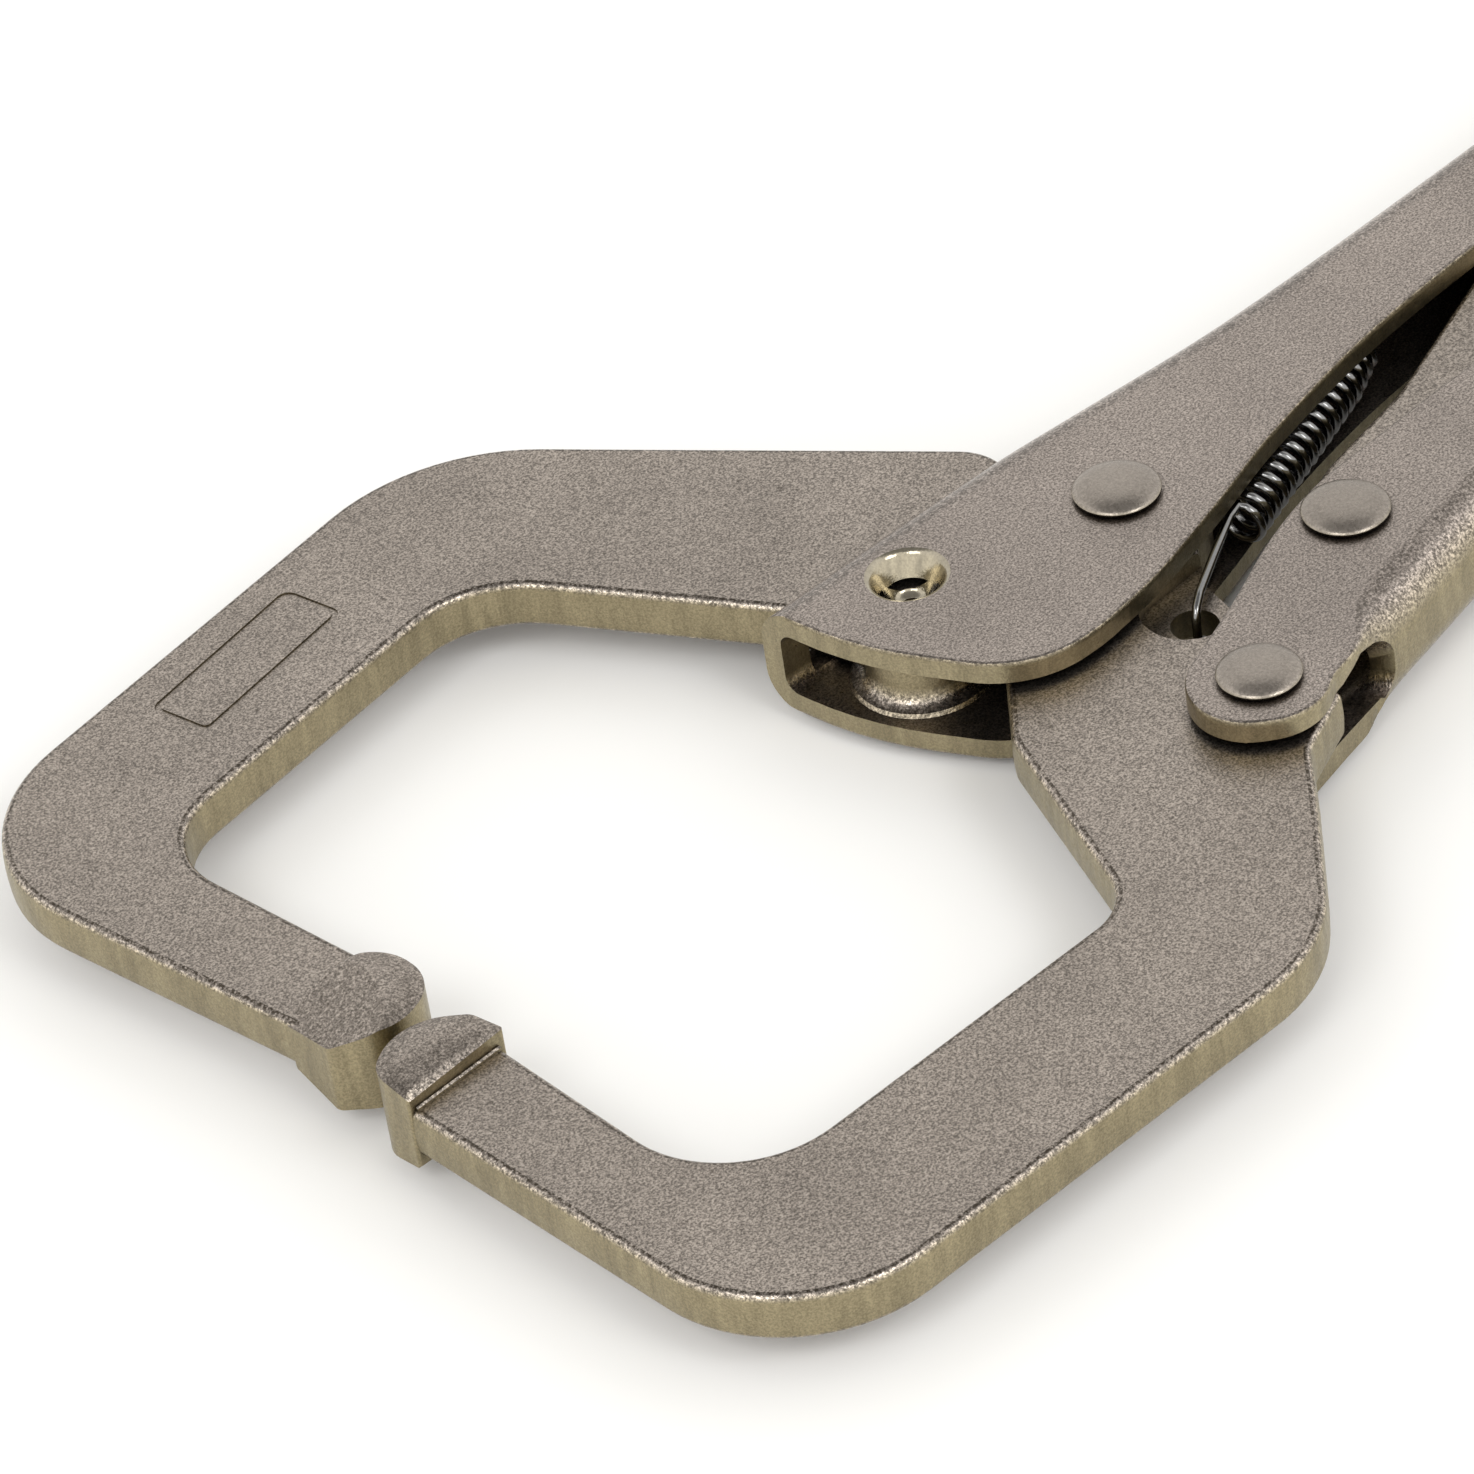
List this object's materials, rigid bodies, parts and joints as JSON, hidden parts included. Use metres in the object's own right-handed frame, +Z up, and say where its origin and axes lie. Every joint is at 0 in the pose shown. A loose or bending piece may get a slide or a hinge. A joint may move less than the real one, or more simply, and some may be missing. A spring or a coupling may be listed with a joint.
{
  "type": "locking c clamp",
  "caption": "Toggle-locking welding clamp with a forged C-shaped jaw pair, riveted channel handles, release lever, return spring and knurled adjusting screw.",
  "frame": {"origin": "bottom centre of the bounding box of the whole clamp as it lies flat", "axes": "+X back along the handles, away from the tips; +Y from the lever handle towards the fixed handle; +Z up, out of the flat side the clamp lies on"},
  "size_m": [0.1644, 0.0774, 0.0092],
  "materials": {
    "handle": "satin nickel-plated pressed sheet steel with a fine grain",
    "forging": "satin nickel-plated drop-forged steel, slightly rough",
    "rivet": "satin plated steel",
    "screw": "plated steel with a cut thread and a straight knurl",
    "spring": "black oiled spring wire, glossy"
  },
  "bodies": {
    "fixed_handle": {"fixed_handle": "handle", "fixed_jaw": "forging", "jaw_pivot_rivet": "rivet", "jaw_spring": "spring"},
    "moving_jaw": {"moving_jaw": "forging", "lever_pivot_rivet": "rivet"},
    "lever_handle": {"lever_handle": "handle", "link_pivot_rivet": "rivet", "release_pivot_rivet": "rivet"},
    "toggle_link": {"toggle_link": "forging"},
    "release_lever": {"release_lever": "handle"},
    "adjusting_screw": {"adjusting_screw": "screw"}
  },
  "joints": [
    {"name": "jaw_pivot", "type": "hinge", "parent": "fixed_handle", "child": "moving_jaw", "pos_m": [-0.01642, -0.00031, 0.0046], "axis": [0, 0, 1], "range_deg": [0, 35], "deforming": ["jaw_spring"]},
    {"name": "lever_pivot", "type": "hinge", "parent": "moving_jaw", "child": "lever_handle", "pos_m": [-0.02332, -0.01951, 0.0046], "axis": [0, 0, 1], "range_deg": [-97, 0]},
    {"name": "link_pivot", "type": "hinge", "parent": "lever_handle", "child": "toggle_link", "pos_m": [-0.00902, -0.01251, 0.0046], "axis": [0, 0, 1], "range_deg": [0, 87]},
    {"name": "release_pivot", "type": "hinge", "parent": "lever_handle", "child": "release_lever", "pos_m": [0.03398, -0.01121, 0.0046], "axis": [0, 0, -1], "range_deg": [0, 6]},
    {"name": "screw_turn", "type": "hinge", "parent": "fixed_handle", "child": "adjusting_screw", "pos_m": [0.03858, 0.00479, 0.0046], "axis": [0.9971, 0.0767, 0], "continuous": true}
  ],
  "couplings": [
    {"joint": "lever_pivot", "follows": "jaw_pivot", "ratio": -2.766},
    {"joint": "link_pivot", "follows": "jaw_pivot", "ratio": 2.454}
  ]
}
